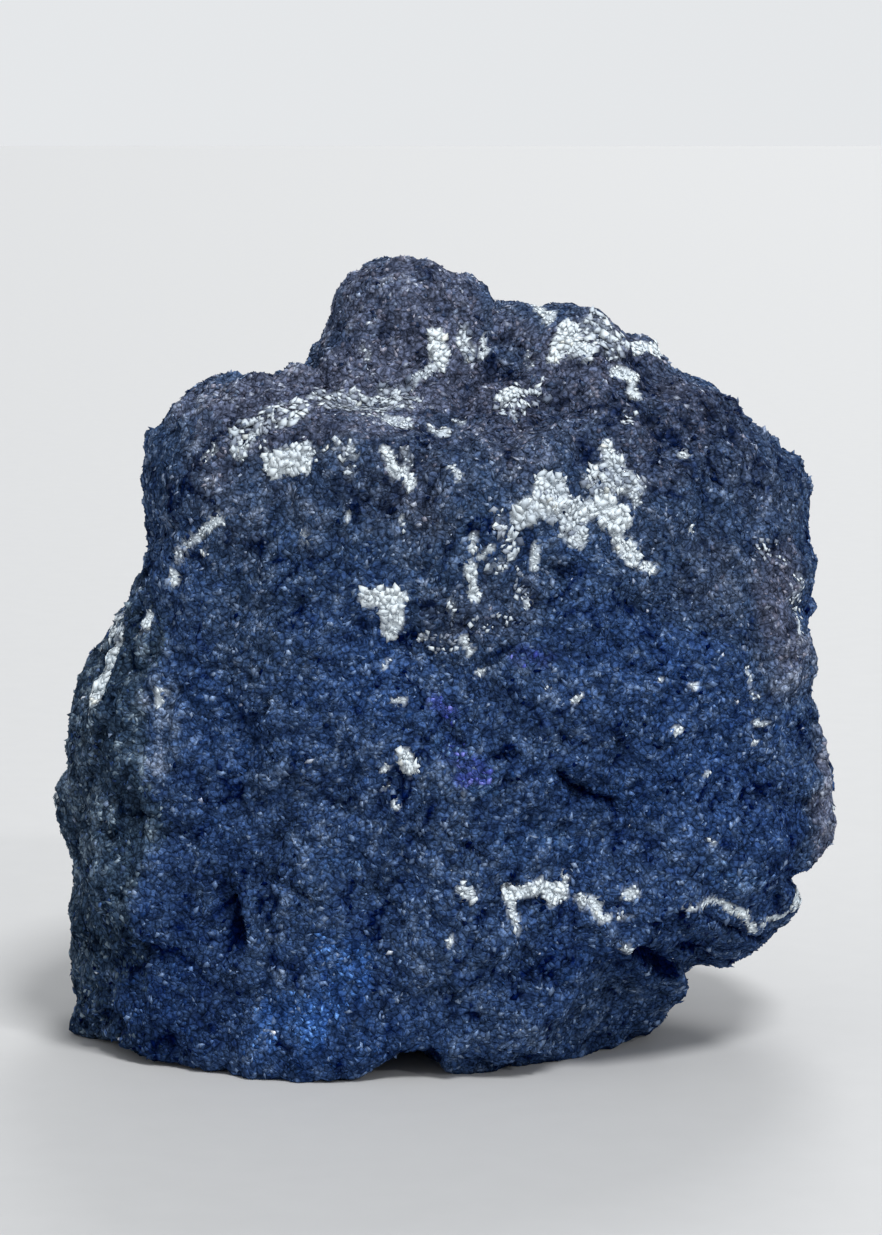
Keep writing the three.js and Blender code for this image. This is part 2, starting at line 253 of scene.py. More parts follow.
# Marks laid by chance on the other sides
CLUSTERS, CLUSTER_REACH, CLUSTER_STROKES = 16, (0.6, 2.4), (3, 10)
CLUSTER_LENGTH, CLUSTER_THIN, CLUSTER_THICKER, CLUSTER_STRENGTH = (0.1, 0.7), 0.08, 0.34, (0.45, 1)
VEINS, VEIN_LINKS, VEIN_TURN, VEIN_STEP = 4, (5, 10), 0.5, (0.5, 1.1)
VEIN_SHARE, VEIN_RADIUS, VEIN_STRENGTH = 0.75, (0.08, 0.17), (0.8, 1)
OFF_FLOOR = 0.5

# ---- the camera

PICTURE = (882, 1235)  # pixels
FOCAL = 3621  # pixels
DOWN = math.radians(8)
AIM_HEIGHT, AWAY = 19.13, 165
EYE = PLACE + np.array([0, -AWAY * math.cos(DOWN), AIM_HEIGHT + AWAY * math.sin(DOWN)])

# Which points of the skin a stroke's end lies on: pixels beside it, pixels more where none is so near,
# millimetres behind the nearest one, and pixels that soften its pull
UNDER, UNDER_MORE, UNDER_DEPTH, UNDER_SOFT = 4.5, 2, 1.2, 0.3

# ---- markings: strokes drawn in the camera's picture, with two ends and a radius in its pixels, and more

MARKINGS = {}
MARKINGS["pale"] = [  # strength
    (534, 306, 550, 317, 3.5, 0.95), (556, 352, 561, 346, 6.5, 1), (567, 332, 574, 338, 7.5, 1),
    (572, 347, 592, 352, 4.5, 0.9), (528, 354, 531, 365, 3, 0.6), (590, 326, 616, 346, 9, 0.6),
    (637, 348, 657, 353, 5.5, 1), (614, 372, 637, 378, 3.6, 0.95), (637, 378, 631, 392, 3.4, 0.9),
    (631, 390, 638, 398, 2.6, 0.9), (628, 414, 630, 424, 5, 0.35), (595, 313, 606, 322, 4, 0.4),
    (437, 343, 440, 354, 8, 1), (437, 365, 415, 380, 2.6, 0.85), (410, 391, 414, 394, 2.4, 0.6),
    (462, 338, 469, 353, 5.5, 0.7), (484, 340, 484, 353, 3.2, 0.95), (503, 396, 516, 390, 4.5, 0.95),
    (504, 408, 542, 392, 9, 0.35), (512, 407, 515, 418, 3, 0.75), (433, 430, 446, 432, 3.6, 0.9),
    (455, 421, 464, 423, 2.3, 0.8), (451, 466, 459, 476, 3.2, 0.9), (387, 452, 394, 470, 5.5, 0.95),
    (404, 451, 409, 462, 4, 0.6), (402, 474, 411, 482, 4, 1), (340, 450, 350, 470, 6, 0.55),
    (351, 449, 354, 452, 3, 0.8), (273, 464, 306, 462, 6.5, 0.95), (285, 455, 308, 452, 5, 0.8),
    (310, 455, 330, 448, 4, 0.5), (238, 452, 253, 436, 5.5, 0.8), (240, 440, 300, 408, 10, 0.5),
    (262, 430, 268, 455, 6, 0.4), (312, 397, 318, 394, 3, 0.8), (330, 400, 405, 398, 12, 0.58),
    (388, 420, 407, 424, 5.5, 0.75), (345, 410, 380, 415, 6, 0.5), (203, 460, 216, 450, 3, 0.6),
    (362, 352, 367, 354, 3, 0.6), (541, 484, 556, 489, 7, 0.86), (520, 512, 562, 502, 8, 0.84),
    (552, 512, 592, 507, 5.5, 0.8), (566, 524, 574, 541, 6.5, 0.78), (580, 524, 579, 545, 4.5, 0.85),
    (590, 478, 606, 472, 8, 0.64), (609, 488, 640, 486, 6, 0.72), (585, 508, 600, 510, 5, 1),
    (609, 452, 611, 462, 3.5, 1), (606, 446, 611, 462, 3.5, 1), (612, 462, 626, 475, 6, 0.75),
    (636, 484, 643, 488, 3, 0.9), (634, 495, 638, 503, 3, 0.8), (600, 503, 622, 524, 6.5, 1),
    (624, 546, 635, 560, 4.6, 1), (616, 534, 626, 550, 2.6, 1), (643, 565, 652, 569, 3.4, 1),
    (596, 490, 606, 500, 6, 0.6), (500, 520, 512, 548, 8, 0.5), (482, 556, 491, 552, 3.2, 0.9),
    (534, 553, 536, 566, 3.6, 0.95), (489, 570, 502, 566, 5, 0.6), (516, 576, 522, 602, 6, 0.4),
    (472, 536, 473, 549, 2.8, 0.9), (470, 566, 474, 596, 4.6, 0.95), (451, 600, 455, 614, 3, 0.6),
    (480, 622, 504, 620, 6, 0.35), (424, 640, 470, 648, 6, 0.4), (464, 640, 470, 652, 3.2, 0.95),
    (420, 638, 424, 639, 2.2, 0.9), (525, 600, 528, 606, 2.6, 0.8), (367, 598, 400, 597, 5.8, 1),
    (388, 610, 391, 626, 9.5, 1), (400, 608, 401, 622, 4, 1), (388, 661, 386, 668, 2, 0.85),
    (396, 699, 403, 701, 2.8, 1), (479, 670, 481, 671, 2.8, 1), (797, 576, 799, 594, 4, 0.55),
    (792, 598, 797, 614, 5, 0.45), (798, 618, 800, 631, 3.4, 0.95), (762, 546, 782, 560, 7, 0.25),
    (682, 455, 684, 456, 2.4, 0.9), (690, 530, 691, 531, 2.8, 1), (693, 686, 694, 687, 2.3, 1),
    (659, 680, 660, 681, 1.8, 0.9), (745, 670, 750, 682, 2, 0.8), (750, 684, 756, 698, 2, 0.6),
    (757, 722, 762, 724, 2.6, 0.9), (754, 741, 755, 742, 1.9, 0.9), (675, 730, 677, 730, 2.7, 1),
    (705, 773, 706, 773, 1.8, 0.9), (549, 690, 556, 692, 4, 0.45), (573, 701, 577, 698, 2.4, 1),
    (580, 697, 581, 697, 1.8, 1), (833, 801, 836, 807, 2.6, 0.8), (709, 841, 711, 841, 1.7, 0.8),
    (461, 795, 462, 795, 2, 0.9), (347, 514, 349, 522, 1.9, 0.9), (403, 518, 403, 534, 1.7, 0.8),
    (303, 535, 307, 538, 2.6, 0.8), (200, 552, 205, 551, 2.6, 0.6), (220, 519, 206, 528, 3, 0.9),
    (204, 530, 186, 546, 2.2, 0.8), (186, 546, 177, 560, 2, 0.75), (175, 574, 171, 582, 2.9, 1),
    (150, 617, 146, 624, 3.4, 0.95), (144, 628, 137, 638, 2.2, 0.6), (119, 614, 110, 640, 4, 0.8),
    (116, 632, 108, 656, 9, 0.8), (108, 652, 103, 672, 11, 0.95), (103, 672, 100, 688, 8, 0.8),
    (99, 688, 94, 699, 8, 1), (160, 690, 158, 704, 2.6, 0.9), (109, 628, 101, 650, 3, 0.5),
    (152, 614, 146, 628, 3, 0.6), (404, 757, 410, 768, 7.2, 1), (412, 764, 415, 768, 3, 0.9),
    (383, 768, 387, 767, 2.3, 0.9), (386, 786, 387, 787, 1.9, 0.8), (393, 802, 396, 808, 2.6, 0.9),
    (462, 889, 472, 896, 4.5, 0.95), (506, 894, 513, 898, 4.5, 1), (513, 896, 526, 889, 4.6, 1),
    (526, 889, 542, 885, 4.4, 1), (542, 886, 548, 892, 4.5, 1), (549, 894, 560, 892, 5.5, 1),
    (562, 890, 565, 877, 2.5, 1), (511, 902, 515, 919, 3.1, 1), (515, 920, 519, 929, 2.5, 0.7),
    (580, 899, 598, 903, 3.2, 1), (597, 915, 606, 918, 3, 1), (626, 896, 636, 891, 3, 0.95),
    (622, 918, 631, 917, 3, 0.6), (688, 907, 704, 904, 2.4, 1), (704, 903, 720, 902, 2.4, 1),
    (727, 906, 735, 911, 3.2, 1), (735, 911, 746, 917, 4, 1), (748, 922, 754, 931, 2.6, 1),
    (761, 923, 788, 913, 3.1, 1), (797, 897, 799, 908, 5.8, 1), (450, 938, 452, 938, 2.2, 1),
    (627, 950, 628, 951, 2.8, 1),
]
# Painted sheen: blue flashes of grains that catch the light, painted as patches of colour
MARKINGS["flash"] = [  # which of FLASH_KINDS, strength
    (320, 950, 362, 948, 9, 0, 0.5), (362, 948, 364, 982, 7, 0, 0.75), (330, 975, 350, 968, 10, 0, 0.45),
    (275, 1010, 335, 1000, 16, 0, 0.5), (306, 1022, 316, 1036, 10, 0, 1), (300, 1008, 326, 1012, 9, 0, 0.7),
    (452, 752, 478, 768, 9, 1, 0.5), (462, 780, 480, 784, 6.5, 1, 1), (474, 786, 486, 792, 6, 2, 0.9),
    (436, 702, 450, 712, 7, 1, 0.6), (440, 745, 462, 755, 8, 2, 0.5), (500, 840, 522, 848, 9, 2, 0.4),
    (542, 834, 560, 838, 8, 2, 0.65), (336, 858, 356, 862, 6, 2, 0.4), (718, 875, 752, 882, 12, 2, 0.45),
    (520, 655, 545, 660, 8, 1, 0.3),
]
MARKINGS["dust"] = [  # strength
    (370, 300, 450, 320, 38, 0.6), (240, 398, 420, 388, 34, 0.85), (250, 432, 400, 426, 26, 0.7),
    (180, 395, 225, 420, 34, 0.5), (440, 620, 520, 610, 28, 0.5), (775, 560, 795, 680, 22, 0.7),
    (824, 765, 824, 855, 18, 0.95), (812, 640, 826, 760, 9, 0.6), (585, 330, 640, 350, 22, 0.4),
    (600, 420, 650, 470, 34, 0.3), (500, 450, 540, 470, 22, 0.35), (640, 560, 720, 600, 36, 0.3),
    (700, 430, 770, 500, 20, 0.25), (470, 300, 560, 300, 14, 0.3), (500, 328, 560, 352, 16, 0.6),
    (150, 650, 165, 760, 14, 0.15), (90, 700, 75, 820, 14, 0.35),
]
# Cracks and pits sink the skin, and painted shade darkens them
MARKINGS["crack"] = [  # depth in millimetres
    (224, 868, 229, 905, 2.5, 0.35), (229, 905, 236, 945, 8.5, 0.95), (561, 772, 575, 789, 3.6, 0.6),
    (575, 789, 612, 801, 4.2, 0.6), (554, 564, 563, 573, 4, 0.4), (642, 955, 672, 974, 8, 1),
    (682, 947, 702, 950, 5, 0.7), (101, 1012, 121, 1030, 5, 0.6), (102, 826, 108, 840, 4.5, 0.5),
    (511, 985, 520, 998, 4, 0.4), (258, 866, 316, 906, 2.5, 0.25), (75, 1018, 88, 1028, 4, 0.4),
    (430, 1050, 440, 1062, 5, 0.4), (300, 655, 330, 662, 3, 0.2), (150, 560, 141, 585, 3, 0.4),
    (120, 640, 96, 705, 3, 0.3), (110, 700, 88, 790, 2.5, 0.3), (476, 336, 520, 343, 3, 0.25),
    (455, 385, 640, 352, 3, 0.2), (602, 352, 640, 362, 3, 0.3), (580, 904, 622, 908, 3, 0.25),
    (705, 915, 760, 940, 4, 0.35), (520, 905, 560, 903, 3, 0.3), (505, 842, 520, 836, 3, 0.3),
    (610, 730, 622, 745, 3, 0.3), (462, 846, 480, 856, 3, 0.3), (300, 760, 316, 768, 3, 0.2),
    (640, 660, 652, 672, 3, 0.25), (390, 905, 402, 925, 3, 0.25),
]
# Painted light and shade, with the ground's own tone: the lighter column darkens where shade falls, in the
# clefts, under the undercut, on the left wall and low by the floor, and lightens other places; the grey
# column is the ground's colour
MARKINGS["shade"] = [  # how much lighter, how much greyer
    (90, 930, 150, 1040, 45, -0.1, -0.5), (155, 470, 150, 560, 12, -0.08, 0),
    (362, 500, 385, 700, 26, 0, -0.3), (225, 500, 250, 660, 26, 0.04, 0.6),
    (190, 690, 235, 740, 26, -0.04, -0.5), (156, 690, 158, 752, 12, 0.13, 0.5),
    (60, 790, 75, 830, 12, -0.05, 0.2), (820, 770, 824, 850, 14, 0.08, 0.4),
    (800, 560, 815, 680, 14, 0.04, 0.2), (470, 640, 520, 680, 24, -0.02, 0.4),
    (560, 785, 620, 800, 22, -0.06, -0.4), (690, 780, 790, 860, 45, -0.02, -0.25),
    (285, 790, 300, 900, 26, 0.03, 0.5), (450, 790, 460, 870, 24, 0.03, 0.4),
    (560, 955, 650, 975, 20, -0.08, -0.2), (650, 960, 700, 950, 14, -0.1, 0),
    (640, 440, 790, 540, 46, -0.09, 0.5), (600, 330, 680, 400, 26, -0.05, 0.4),
    (530, 372, 600, 384, 20, 0.02, 0.7), (700, 590, 790, 640, 30, -0.02, 0.6),
    (130, 850, 120, 880, 13, -0.08, 0), (600, 620, 720, 700, 50, 0, -0.2),
    (250, 1010, 420, 1040, 20, -0.02, -0.3), (400, 950, 520, 1000, 34, 0.06, 0.2),
    (430, 330, 520, 420, 20, -0.03, 0.3), (460, 390, 520, 470, 24, -0.02, 0.4),
    (430, 400, 600, 400, 36, -0.1, 0), (640, 400, 730, 420, 30, -0.15, 0), (230, 450, 440, 470, 24, -0.1, 0),
    (640, 600, 730, 640, 34, -0.09, 0), (500, 635, 560, 650, 22, -0.12, 0),
    (170, 800, 250, 880, 30, -0.1, 0), (160, 940, 200, 1010, 34, -0.1, 0),
    (350, 1000, 370, 1000, 22, -0.1, 0), (470, 1000, 560, 1000, 24, -0.04, 0),
    (600, 890, 620, 940, 30, -0.04, 0), (780, 800, 790, 850, 24, -0.12, 0),
    (300, 935, 310, 945, 16, -0.1, 0), (790, 440, 795, 480, 16, -0.12, 0), (350, 430, 410, 400, 16, 0.08, 0),
    (143, 640, 142, 700, 3, 0.2, 0.8), (142, 700, 145, 762, 3, 0.2, 0.8), (146, 766, 162, 769, 3, 0.2, 0.6),
    (126, 630, 120, 700, 12, -0.15, 0), (114, 740, 116, 780, 14, -0.1, 0),
    (176, 680, 182, 720, 16, 0.12, 0.3), (530, 815, 560, 830, 20, 0.08, -0.3),
    (345, 750, 370, 765, 22, 0.08, -0.3), (350, 815, 370, 830, 20, 0.07, 0),
    (298, 518, 305, 525, 18, 0.12, 0.2), (778, 640, 785, 690, 18, 0.1, 0.2),
]

# ---- the studio: metres

WORLD_COLOUR, WORLD_STRENGTH, BACKDROP_STRENGTH = (0.86, 0.88, 0.9, 1), 0.62, 0.91
FLOOR_HALF, FLOOR_NOISE = 4, (2.0, 4.0, 0.6)  # the noise's size is in millimetres
FLOOR_TINT, FLOOR_MOTTLE, FLOOR_ROUGHNESS = (0.47, 0.475, 0.48), 0.03, 0.6
LAMP_AIM = (0, 0, 0.018)
LAMPS = {  # place, apparent size in degrees, strength
    "key": ((0.08, -0.14, 0.30), 14, 2.4),
    "glints": ((0.20, -0.22, 0.20), 3, 0.5),
    "rim": ((0.05, 0.25, 0.25), 20, 0.9),
}


# ---- scattered numbers and rough layers


def scatter(x, y, z, seed):
    """Whole-number lattice points and a seed to numbers from 0 to 1, by multiplying and shifting bits."""
    h = (x * 374761393 + y * 668265263 + z * 2147483647 + seed * 1274126177) & 0xFFFFFFFF
    h = h.astype(np.uint32)
    h = (h ^ (h >> np.uint32(15))) * np.uint32(2246822519)
    h = (h ^ (h >> np.uint32(13))) * np.uint32(3266489917)
    return (h ^ (h >> np.uint32(16))) / 4294967296.0


def smooth_step(t):
    """0 below 0, 1 above 1, and between them three times t squared less twice t cubed."""
    t = np.clip(t, 0, 1)
    return t * t * (3 - 2 * t)


def unit(vectors):
    vectors = np.asarray(vectors, float)
    return vectors / np.linalg.norm(vectors, axis=-1, keepdims=True)


def swell(points, size, seed):
    """Smooth swells about size apart, from about -1 to 1: a blend of the slopes at a lattice's corners."""
    q = points / size
    cell = np.floor(q).astype(np.int64)
    inside = q - cell
    blend = inside * inside * (3 - 2 * inside)
    total = np.zeros(len(points))
    for corner in range(8):
        step = np.array([corner & 1, corner >> 1 & 1, corner >> 2])
        at = (cell + step).T
        weight = np.where(step, blend, 1 - blend).prod(1)
        slope = np.stack([scatter(*at, seed + axis) * 2 - 1 for axis in range(3)], 1)
        total += weight * (slope * (inside - step)).sum(1)
    return total


def lump(points, size, seed):
    """Angular lumps about size across with creases between them: one middle is scattered in each cell of a
    turned lattice, and the height falls by the longest of the three ways to the nearest middle."""
    about_x, about_z = LUMP_TURN
    x = points[:, X] * math.cos(about_z) - points[:, Y] * math.sin(about_z)
    y = points[:, X] * math.sin(about_z) + points[:, Y] * math.cos(about_z)
    z = points[:, Z]
    y, z = y * math.cos(about_x) - z * math.sin(about_x), y * math.sin(about_x) + z * math.cos(about_x)
    q = np.stack([x, y, z], 1) / size
    cell = np.floor(q).astype(np.int64)
    nearest = np.full(len(points), np.inf)
    for neighbour in range(27):
        at = cell + np.array([neighbour % 3 - 1, neighbour // 3 % 3 - 1, neighbour // 9 - 1])
        middle = at + np.stack([scatter(*at.T, seed + axis) for axis in range(3)], 1)
        nearest = np.minimum(nearest, np.abs(middle - q).max(1))
    return LUMP_MIDDLE - nearest


def layered(points, layers, noise=swell):
    """Layers of noise, added."""
    return sum(height * noise(points, size, seed) for size, height, seed in layers)


def patches(points, size, seed, start, fade):
    """1 where a noise stands above start, 0 where it lies below, eased over fade."""
    return smooth_step((swell(points, size, seed) - start) / fade)


# ---- the stone's form


def in_outline_plane(directions):
    """Each direction's share across, up and out of the plane of the outline, which leans back."""
    out = -directions[:, Y] * math.cos(LEAN) + directions[:, Z] * math.sin(LEAN)
    up = directions[:, Y] * math.sin(LEAN) + directions[:, Z] * math.cos(LEAN)
    return directions[:, X], up, out


def outline_radius(angles):
    """Distance from the heart to the outline's straight side at each angle."""
    corner_angles = np.arctan2(OUTLINE[:, 1], OUTLINE[:, 0])
    order = np.argsort(corner_angles)
    corners = OUTLINE[order]
    after = np.searchsorted(corner_angles[order], angles) % len(corners)
    a, b = corners[after - 1], corners[after]
    side = b - a
    down = np.cos(angles) * side[:, 1] - np.sin(angles) * side[:, 0]
    return (a[:, 0] * side[:, 1] - a[:, 1] * side[:, 0]) / down


def press(directions, faces):
    """One over the distance at which each ray meets a set of faces. Each face gives its cosine over its
    distance, and the high power mean of them rounds the edges."""
    total = 0
    for looks, distance in faces.values():
        total = total + (np.maximum(directions @ unit(looks), 0) / distance) ** EDGE_SHARPNESS
    return total ** (1 / EDGE_SHARPNESS)


def form_reach(directions):
    """Distance from the heart to the smooth form: the outline's barrel, the faces and the higher top."""
    across, up, out = in_outline_plane(directions)
    wander = WANDER_TURN * out * swell(directions * WANDER_REACH, WANDER_SIZE, WANDER_SEED)
    angles = (np.arctan2(up, across) + wander + math.pi) % (2 * math.pi) - math.pi
    wall = np.sqrt(across**2 + up**2 + BARREL * out**2) / outline_radius(angles)
    top = np.minimum(press(directions, LEDGE), press(directions, CROWN))
    parts = wall**EDGE_SHARPNESS + top**EDGE_SHARPNESS + press(directions, FACES) ** EDGE_SHARPNESS
    return parts ** (-1 / EDGE_SHARPNESS)


def relief(across, up):
    """Height of the ridges and hollows: the square of one less both squared shares of an ellipse, added."""
    total = np.zeros(len(across))
    for middle_across, middle_up, half_across, half_up, turn, height in RELIEF.values():
        angle = math.radians(turn)
        x, y = across - middle_across, up - middle_up
        along = (x * math.cos(angle) + y * math.sin(angle)) / half_across
        beside = (-x * math.sin(angle) + y * math.cos(angle)) / half_up
        total += height * np.maximum(1 - along**2 - beside**2, 0) ** 2
    return total


def bedding(points, directions, spacing, depth, warp, seed):
    """Height of bedding steps, a slope and a drop repeated through the depth, on the walls alone."""
    across, up, _ = in_outline_plane(directions)
    bed = (points[:, Y] + BED_TILT * points[:, X]) / spacing + warp * swell(points, BED_WARP_SIZE, seed)
    phase = bed - np.floor(bed)
    height = np.where(phase < BED_RISE, phase / BED_RISE, (1 - phase) / (1 - BED_RISE))
    on_wall = smooth_step((np.hypot(across, up) - BED_START) / BED_FADE)
    return (height - 0.5) * depth * on_wall * np.where(across < 0, 1, BED_SHARE_ON_RIGHT)


def fine_height(points, directions):
    """Height of what is finer than the solid shows: thin beds, small swells and lumps, and crevices."""
    height = bedding(points, directions, *FINE_BEDS)
    height *= smooth_step(0.5 + layered(points, FINE_BED_PATCHES))
    height += GRAIN_RAISED * layered(points, GRAINS) - CREVICE_DEPTH * crevices(points)
    return height + layered(points, FINE_SWELLS) + layered(points, FINE_LUMPS, lump)


def crevices(points):
    """1 along short wandering cracks, 0 away from them: a noise's lines of 0, in patches."""
    line = smooth_step(1 - np.abs(swell(points, *CREVICE_LINES)) / CREVICE_WIDTH)
    return line * patches(points, *CREVICE_PLACES)


def skin_points(directions):
    """The skin's point along each direction from the heart, and its fine height. The distance is the smooth
    form's reach, plus bedding, relief, swells, lumps and the fine height, stopped at the floor."""
    reach = form_reach(directions)
    points = HEART + directions * reach[:, None]
    across, up, out = in_outline_plane(directions)
    fine = fine_height(points, directions)
    distance = reach - SKIN_SUNK + fine
    distance += bedding(points, directions, *BEDS)
    distance += np.where(out > 0, relief(across * reach, up * reach), 0)
    distance += layered(points, SWELLS) + layered(points, LUMPS, lump)
    floor = np.where(directions[:, Z] < 0, HEART[Z] / np.maximum(-directions[:, Z], TINY), np.inf)
    points = HEART + directions * np.minimum(distance, floor)[:, None]
    points[:, Z] = np.maximum(points[:, Z], 0)
    return points + PLACE, fine


def cube_grid(cells):
    """A ball's directions on the grids of a cube's six sides, evened out by a tangent. Returns them with the
    seams welded, the quads, and each quad corner's place on a map of three sides by two."""
    line = np.tan(np.linspace(-1, 1, cells + 1) * math.pi / 4)
    u, v = np.meshgrid(line, line, indexing="ij")
    one = np.ones_like(u)
    sides = [(one, u, v), (-one, v, u), (v, one, u), (u, -one, v), (u, v, one), (v, u, -one)]
    number = np.arange((cells + 1) ** 2).reshape(cells + 1, cells + 1)
    quad = np.stack([number[:-1, :-1], number[1:, :-1], number[1:, 1:], number[:-1, 1:]], -1).reshape(-1, 4)
    share_u, share_v = np.meshgrid(*[np.linspace(MAP_MARGIN, 1 - MAP_MARGIN, cells + 1)] * 2, indexing="ij")
    places, quads, maps = [], [], []
    for side, parts in enumerate(sides):
        places.append(np.stack(parts, -1).reshape(-1, 3))
        quads.append(quad + side * (cells + 1) ** 2)
        maps.append(np.stack([(share_u + side % 3) / 3, (share_v + side // 3) / 2], -1).reshape(-1, 2))
    places, quads, maps = unit(np.concatenate(places)), np.concatenate(quads), np.concatenate(maps)
    key = np.round(places * SEAM).astype(np.int64)
    _, first, merged = np.unique(key, axis=0, return_index=True, return_inverse=True)
    return places[first], merged.reshape(-1)[quads], maps[quads]


def triangle_normals(points, triangles):
    """Twice each triangle's area, along its normal."""
    a, b, c = (points[triangles[:, corner]] for corner in range(3))
    return np.cross(b - a, c - a)


def point_normals(points, triangles):
    """Each point's normal: the sum of its triangles' normals, weighed by area."""
    normals = triangle_normals(points, triangles)
    total = np.zeros_like(points)
    for axis in range(3):
        for corner in range(3):
            total[:, axis] += np.bincount(triangles[:, corner], normals[:, axis], len(points))
    return unit(total)


# ---- where the markings lie


def in_picture(points):
    """Each point's place in the camera's picture, in pixels across and down, and how far ahead it lies."""
    ahead = np.array([0, math.cos(DOWN), -math.sin(DOWN)])
    over = np.array([0, math.sin(DOWN), math.cos(DOWN)])
    away = points - EYE
    depth = away @ ahead
    across = PICTURE[0] / 2 + FOCAL * away[:, X] / depth
    down = PICTURE[1] / 2 - FOCAL * (away @ over) / depth
    return np.stack([across, down], 1), depth


def laid_on(skin, directions, strokes):
    """Strokes drawn in the camera's picture, laid on the skin that it sees, in millimetres. Each end goes to
    the mean of the nearest points there, weighed by closeness."""
    facing = skin[in_outline_plane(directions)[2] > SEEN_FROM]
    seen, depth = in_picture(facing)

    def under(place):
        gap = np.hypot(*(seen - place).T)
        near = np.flatnonzero(gap < max(UNDER, gap.min() + UNDER_MORE))
        near = near[depth[near] < depth[near].min() + UNDER_DEPTH]
        weight = 1 / (gap[near] + UNDER_SOFT) ** 2
        return weight @ facing[near] / weight.sum()

    laid = []
    for x0, y0, x1, y1, radius, *rest in strokes:
        start, end = under((x0, y0)), under((x1, y1))
        ahead = in_picture(np.array([(start + end) / 2]))[1][0]
        laid.append((*start, *end, radius * ahead / FOCAL, *rest))
    return laid


def sunk_at(points, directions, cracks):
    """How far the cracks and pits sink the skin. Each is a line with round ends, seen along Y, deepest along
    its middle and easing off past its rim."""
    flat = points[:, [X, Z]]
    total = np.zeros(len(points))
    for x0, _, z0, x1, _, z1, radius, depth in cracks:
        gap = np.linalg.norm(from_line(flat, np.array([x0, z0]), np.array([x1, z1])), axis=1)
        total = np.maximum(total, depth * smooth_step(1 - CRACK_EASE * gap / radius))
    return total * looking_out(directions)


def from_line(points, start, end):
    """The way to each point from the nearest place on the line between two points."""
    along = end - start
    t = np.clip((points - start) @ along / max(along @ along, TINY), 0, 1)
    return points - start - t[:, None] * along


def looking_out(directions):
    """1 on the half towards the front, 0 on the half towards the back."""
    return smooth_step((in_outline_plane(directions)[2] - FRONT_FROM) / FRONT_FADE)


def laid_elsewhere(skin, directions, random):
    """Strokes laid by chance on the sides and the back: short ones in clusters, and veins of linked ones."""
    free = skin[(in_outline_plane(directions)[2] < BEHIND) & (skin[:, Z] > OFF_FLOOR)]

    def nearest(place):
        return free[np.linalg.norm(free - place, axis=1).argmin()]

    laid = []
    for _ in range(CLUSTERS):
        middle = free[random.integers(len(free))]
        reach = random.uniform(*CLUSTER_REACH)
        for _ in range(random.integers(*CLUSTER_STROKES)):
            start = nearest(middle + reach * random.normal(size=3))
            end = nearest(start + random.uniform(*CLUSTER_LENGTH) * random.normal(size=3))
            radius = CLUSTER_THIN + CLUSTER_THICKER * random.random() ** 2
            laid.append((*start, *end, radius, random.uniform(*CLUSTER_STRENGTH)))
    for _ in range(VEINS):
        place = free[random.integers(len(free))]
        heading = unit(random.normal(size=3))
        for _ in range(random.integers(*VEIN_LINKS)):
            heading = unit(heading + VEIN_TURN * random.normal(size=3))
            after = nearest(place + random.uniform(*VEIN_STEP) * heading)
            if random.random() < VEIN_SHARE:
                laid.append((*place, *after, random.uniform(*VEIN_RADIUS), random.uniform(*VEIN_STRENGTH)))
            place = after
    return laid


def insides(points, directions, strokes):
    """For each stroke, a line in space with round ends, how deep each point is inside it, below 0 outside.
    The way along the point's own ray counts for little, and the way along Y for less than the way across."""
    seen = np.array([1, SEEN_DEPTH, 1])
    flat, rays = points * seen, unit(directions * seen)
    for stroke in strokes:
        gap = from_line(flat, np.array(stroke[:3]) * seen, np.array(stroke[3:6]) * seen)
        radial = (gap * rays).sum(1)
        far = np.sqrt(np.maximum((gap * gap).sum(1) - (1 - RAY_SHARE**2) * radial**2, 0))
        yield stroke[7:], stroke[6], stroke[6] - far


